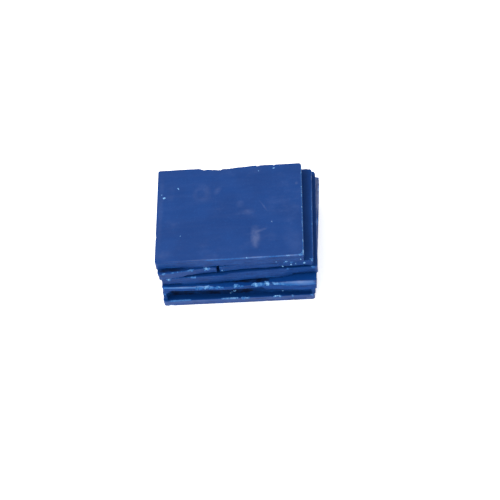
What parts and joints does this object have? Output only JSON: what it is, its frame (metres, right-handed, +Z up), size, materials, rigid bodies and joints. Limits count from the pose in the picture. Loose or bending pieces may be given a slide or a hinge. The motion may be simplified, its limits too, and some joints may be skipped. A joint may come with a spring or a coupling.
{
  "type": "stack of blue chalk slabs",
  "caption": "Loose stack of thin rectangular blue chalk-like slabs with chipped edges, a cracked slab among them; each slab lifts, slides or turns on the one below.",
  "frame": {"origin": "on the supporting surface, under the middle of the whole stack's box", "axes": "+X along the slabs' long front edges, +Y from the front edges to the back, +Z up through the stack"},
  "size_m": [0.053, 0.042, 0.0208],
  "materials": {
    "bottom_slab": "satin compound with a faint pale bloom, worn light edges and glassy light-blue chips",
    "fifth_slab": "satin compound with a faint pale bloom, worn light edges and glassy light-blue chips",
    "fourth_slab": "satin compound with a faint pale bloom, worn light edges and glassy light-blue chips",
    "third_slab": "satin compound with a faint pale bloom, worn light edges and glassy light-blue chips",
    "second_slab_left_piece": "satin compound with a faint pale bloom, worn light edges and glassy light-blue chips",
    "second_slab_right_piece": "satin compound with a faint pale bloom, worn light edges and glassy light-blue chips",
    "top_slab": "satin compound with a faint pale bloom, worn light edges and glassy light-blue chips"
  },
  "bodies": {
    "bottom_slab": {"bottom_slab": "bottom_slab"},
    "fifth_slab": {"fifth_slab": "fifth_slab"},
    "fourth_slab": {"fourth_slab": "fourth_slab"},
    "third_slab": {"third_slab": "third_slab"},
    "second_slab_left_piece": {"second_slab_left_piece": "second_slab_left_piece"},
    "second_slab_right_piece": {"second_slab_right_piece": "second_slab_right_piece"},
    "top_slab": {"top_slab": "top_slab"}
  },
  "joints": [
    {"name": "fifth_slab_slide", "type": "slide", "parent": "bottom_slab", "child": "fifth_slab", "axis": [1, 0, 0], "range_m": [-0.01, 0.01]},
    {"name": "fourth_slab_slide", "type": "slide", "parent": "fifth_slab", "child": "fourth_slab", "axis": [0, 1, 0], "range_m": [-0.01, 0.01]},
    {"name": "third_slab_turn", "type": "hinge", "parent": "fourth_slab", "child": "third_slab", "pos_m": [0, 0.0005, 0.0099], "axis": [0, 0, 1], "continuous": true},
    {"name": "right_piece_slide", "type": "slide", "parent": "third_slab", "child": "second_slab_right_piece", "axis": [1, 0, 0], "range_m": [0, 0.01]},
    {"name": "left_piece_slide", "type": "slide", "parent": "third_slab", "child": "second_slab_left_piece", "axis": [1, 0, 0], "range_m": [-0.009, 0]},
    {"name": "top_slab_lift", "type": "slide", "parent": "second_slab_right_piece", "child": "top_slab", "axis": [0, 0, 1], "range_m": [0, 0.06]}
  ]
}
